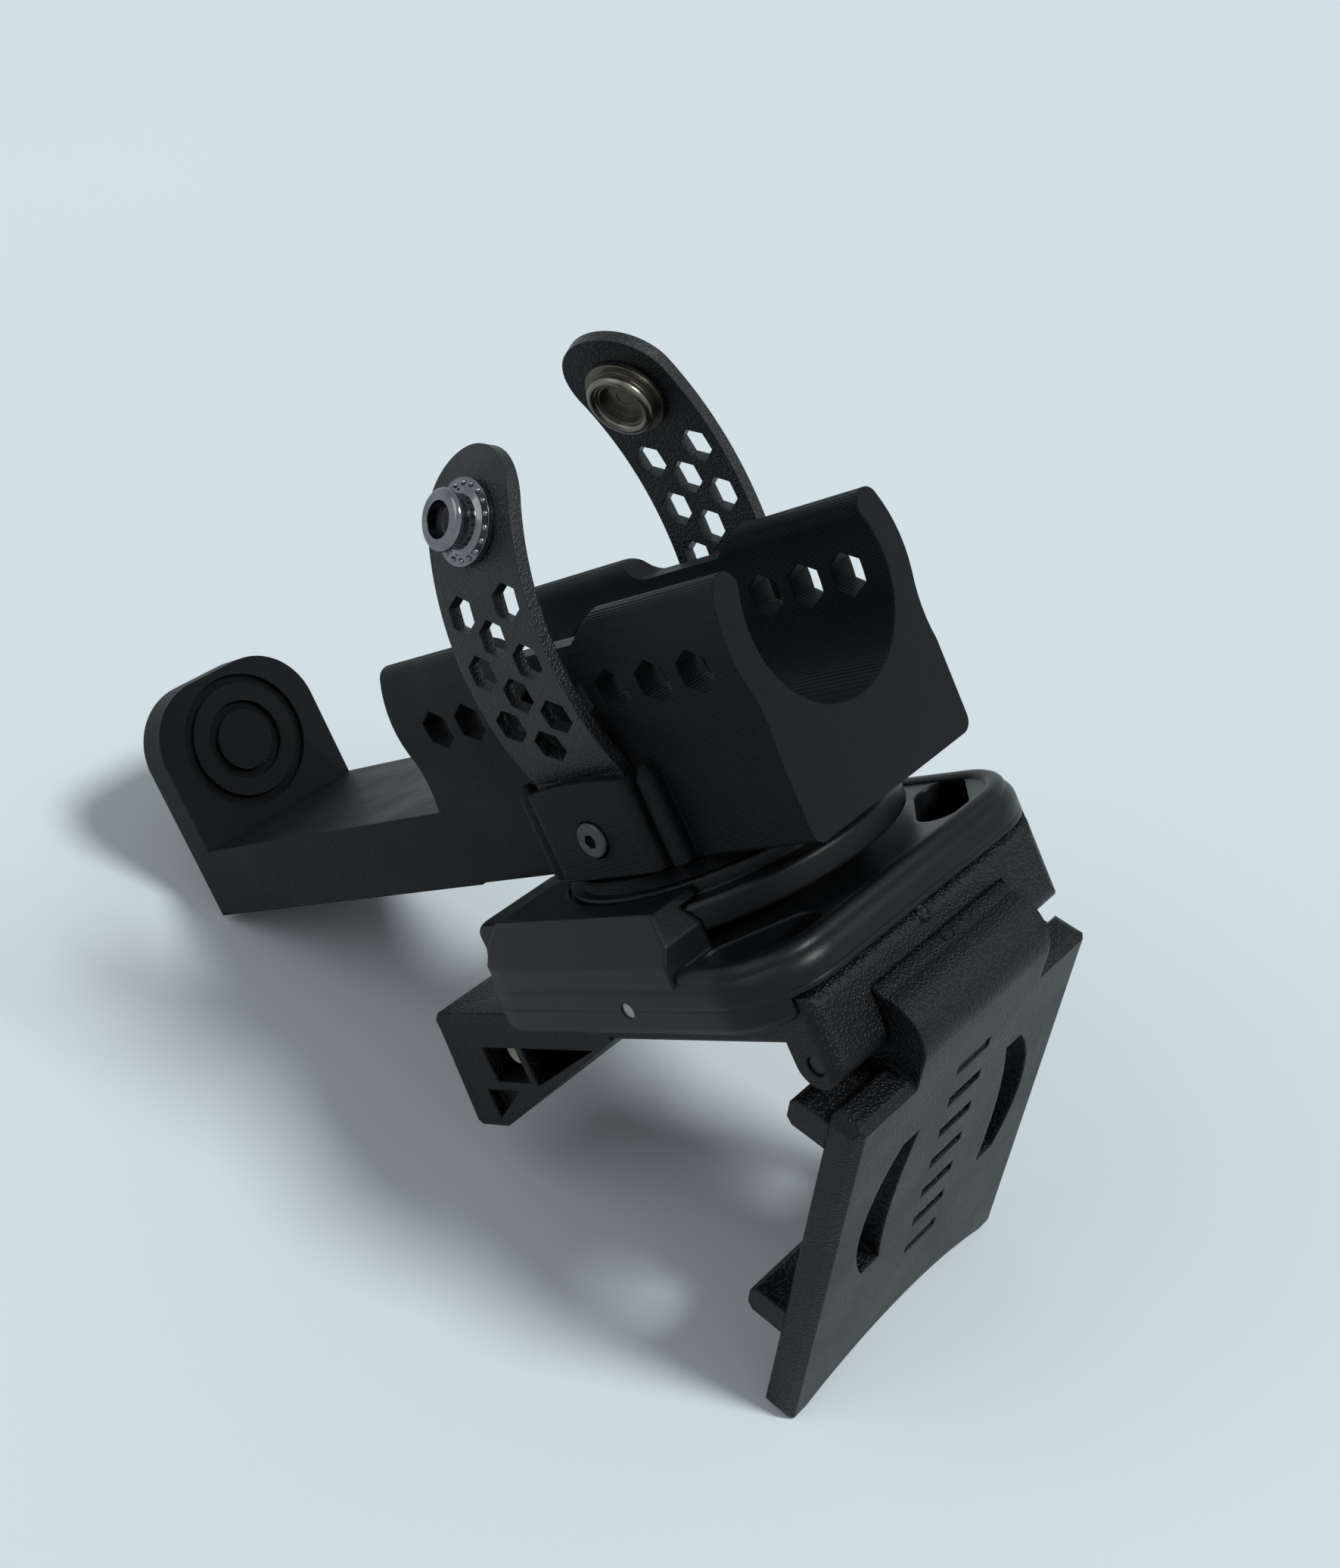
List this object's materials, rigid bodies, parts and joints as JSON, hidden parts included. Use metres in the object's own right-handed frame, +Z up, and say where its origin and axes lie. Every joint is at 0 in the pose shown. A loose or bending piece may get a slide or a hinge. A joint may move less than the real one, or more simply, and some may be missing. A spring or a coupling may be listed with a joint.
{
  "type": "swivelling belt-clip holder",
  "caption": "Open clamp trough with two snap straps and an end stop, turning on a rotor above a belt clip with a hinged outer plate.",
  "frame": {"origin": "centre of the whole part's bounding box at the surface it stands on", "axes": "+X from the hinged outer plate towards the end stop, +Y towards the side with the release lever and the snap stud, +Z up"},
  "size_m": [0.1689, 0.0624, 0.1317],
  "materials": {
    "printed": "matt black printed plastic with fine layer lines",
    "strap": "pebbled flexible sheet, black",
    "moulded": "fine moulded grain, black",
    "bright": "bright plated metal",
    "aged_brass": "aged plated brass",
    "brass": "plain turned brass",
    "dark_steel": "dark oxide steel",
    "steel": "plain steel",
    "pale_plastic": "pale moulded plastic"
  },
  "bodies": {
    "clip": {"rotor_cover": "moulded", "rotor_tray": "moulded", "lever_pin": "steel", "lever_spring": "steel", "rotor_screw_a": "dark_steel", "rotor_screw_b": "dark_steel", "rotor_screw_c": "dark_steel", "rotor_screw_d": "dark_steel", "back_plate": "moulded", "hinge_pin": "steel"},
    "holder": {"cradle": "printed", "near_strap": "strap", "far_strap": "strap", "near_clamp": "printed", "far_clamp": "printed", "near_clamp_screw": "dark_steel", "far_clamp_screw": "dark_steel", "near_insert": "brass", "far_insert": "brass", "snap_stud": "bright", "stud_eyelet": "bright", "snap_socket": "aged_brass", "socket_cap": "aged_brass", "boss_disc": "printed", "turret": "moulded", "axle_insert": "brass", "swivel_screw": "steel", "retainer": "steel"},
    "lever": {"release_lever": "moulded"},
    "near_release": {"near_button": "pale_plastic"},
    "far_release": {"far_button": "pale_plastic"},
    "outer_plate": {"belt_plate": "moulded", "upper_bar": "moulded", "lower_bar": "moulded"}
  },
  "joints": [
    {"name": "swivel", "type": "hinge", "parent": "clip", "child": "holder", "pos_m": [-0.04119, 0, 0.06745], "axis": [0.6313, 0, 0.7755], "continuous": true},
    {"name": "plate_hinge", "type": "hinge", "parent": "clip", "child": "outer_plate", "pos_m": [-0.07504, 0, 0.0745], "axis": [0, 1, 0], "range_deg": [-44, 20]},
    {"name": "lever_pivot", "type": "hinge", "parent": "clip", "child": "lever", "pos_m": [-0.04751, 0.0237, 0.06666], "axis": [0, 1, 0], "range_deg": [0, 2.5], "stiffness_Nm_per_rad": 0.6, "springref_deg": -1.15, "deforming": ["lever_spring"]},
    {"name": "near_button_press", "type": "slide", "parent": "clip", "child": "near_release", "axis": [0, -1, 0], "range_m": [0, 0.0015], "stiffness_N_per_m": 800, "springref_m": -0.0005},
    {"name": "far_button_press", "type": "slide", "parent": "clip", "child": "far_release", "axis": [0, 1, 0], "range_m": [0, 0.0015], "stiffness_N_per_m": 800, "springref_m": -0.0005}
  ]
}
